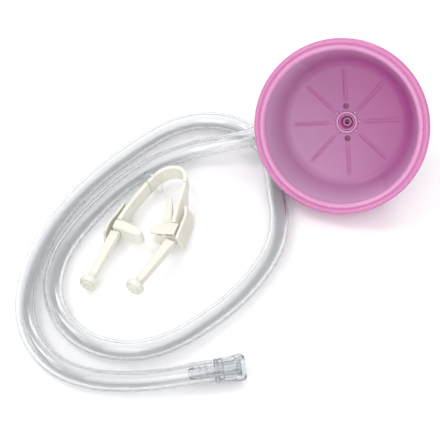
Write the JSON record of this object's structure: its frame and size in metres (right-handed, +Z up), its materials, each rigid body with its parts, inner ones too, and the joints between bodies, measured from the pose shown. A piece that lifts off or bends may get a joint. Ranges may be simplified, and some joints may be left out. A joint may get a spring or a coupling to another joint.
{
  "type": "hand milking cup set",
  "caption": "Soft teat cup with a ribbed floor on a swivel elbow, with a clear hose, a hose connector and a squeeze clip.",
  "frame": {"origin": "on the table, under the middle of the footprint of the cup, elbow and clip, without the hose and its connector", "axes": "+Z up; -Y is the side the cup's opening faces and leans to; +X to the right when seen from that side, from the clip to the cup"},
  "size_m": [0.2138, 0.1861, 0.0805],
  "materials": {
    "bowl_soft": "translucent soft silicone",
    "lip_soft": "glossy soft silicone",
    "hub_plastic": "smooth",
    "fitting_white": "smooth",
    "seal_rubber": "matt",
    "clear_tube": "clear flexible tube",
    "clear_plastic": "clear rigid plastic",
    "clip_ivory": "satin ivory plastic"
  },
  "bodies": {
    "base": {"swivel_elbow": "fitting_white", "outlet_funnel": "hub_plastic", "spindle_o_ring": "seal_rubber", "hose": "clear_tube", "connector_stem": "clear_plastic", "connector_washer": "fitting_white", "clip_bow": "clip_ivory", "tether_ring": "clear_plastic"},
    "cup": {"cup_bowl": "bowl_soft", "lip_seal": "lip_soft", "hub_bush": "hub_plastic"},
    "collar": {"connector_collar": "clear_plastic"},
    "left_arm": {"left_strap": "clip_ivory", "left_jaw": "clip_ivory", "left_saddle": "clip_ivory", "left_leg": "clip_ivory", "left_foot": "clip_ivory"},
    "right_arm": {"right_strap": "clip_ivory", "right_jaw": "clip_ivory", "right_saddle": "clip_ivory", "right_leg": "clip_ivory", "right_foot": "clip_ivory"}
  },
  "joints": [
    {"name": "cup_swivel", "type": "hinge", "parent": "base", "child": "cup", "pos_m": [0.05046, 0.0397, 0.02779], "axis": [-0.217, -0.7519, 0.6225], "continuous": true},
    {"name": "collar_spin", "type": "hinge", "parent": "base", "child": "collar", "pos_m": [-0.0219, -0.1082, 0.0069], "axis": [0.9877, 0.1564, 0], "continuous": true},
    {"name": "left_squeeze", "type": "hinge", "parent": "base", "child": "left_arm", "pos_m": [-0.05765, 0.01029, 0.00711], "axis": [-0.1318, 0.0446, 0.9903], "range_deg": [0, 2.5], "stiffness_Nm_per_rad": 0.5},
    {"name": "right_squeeze", "type": "hinge", "parent": "base", "child": "right_arm", "pos_m": [-0.03741, 0.00829, 0.00989], "axis": [-0.1318, 0.0446, 0.9903], "range_deg": [-2.5, 0], "stiffness_Nm_per_rad": 0.5}
  ],
  "couplings": [
    {"joint": "right_squeeze", "follows": "left_squeeze", "ratio": -1}
  ]
}
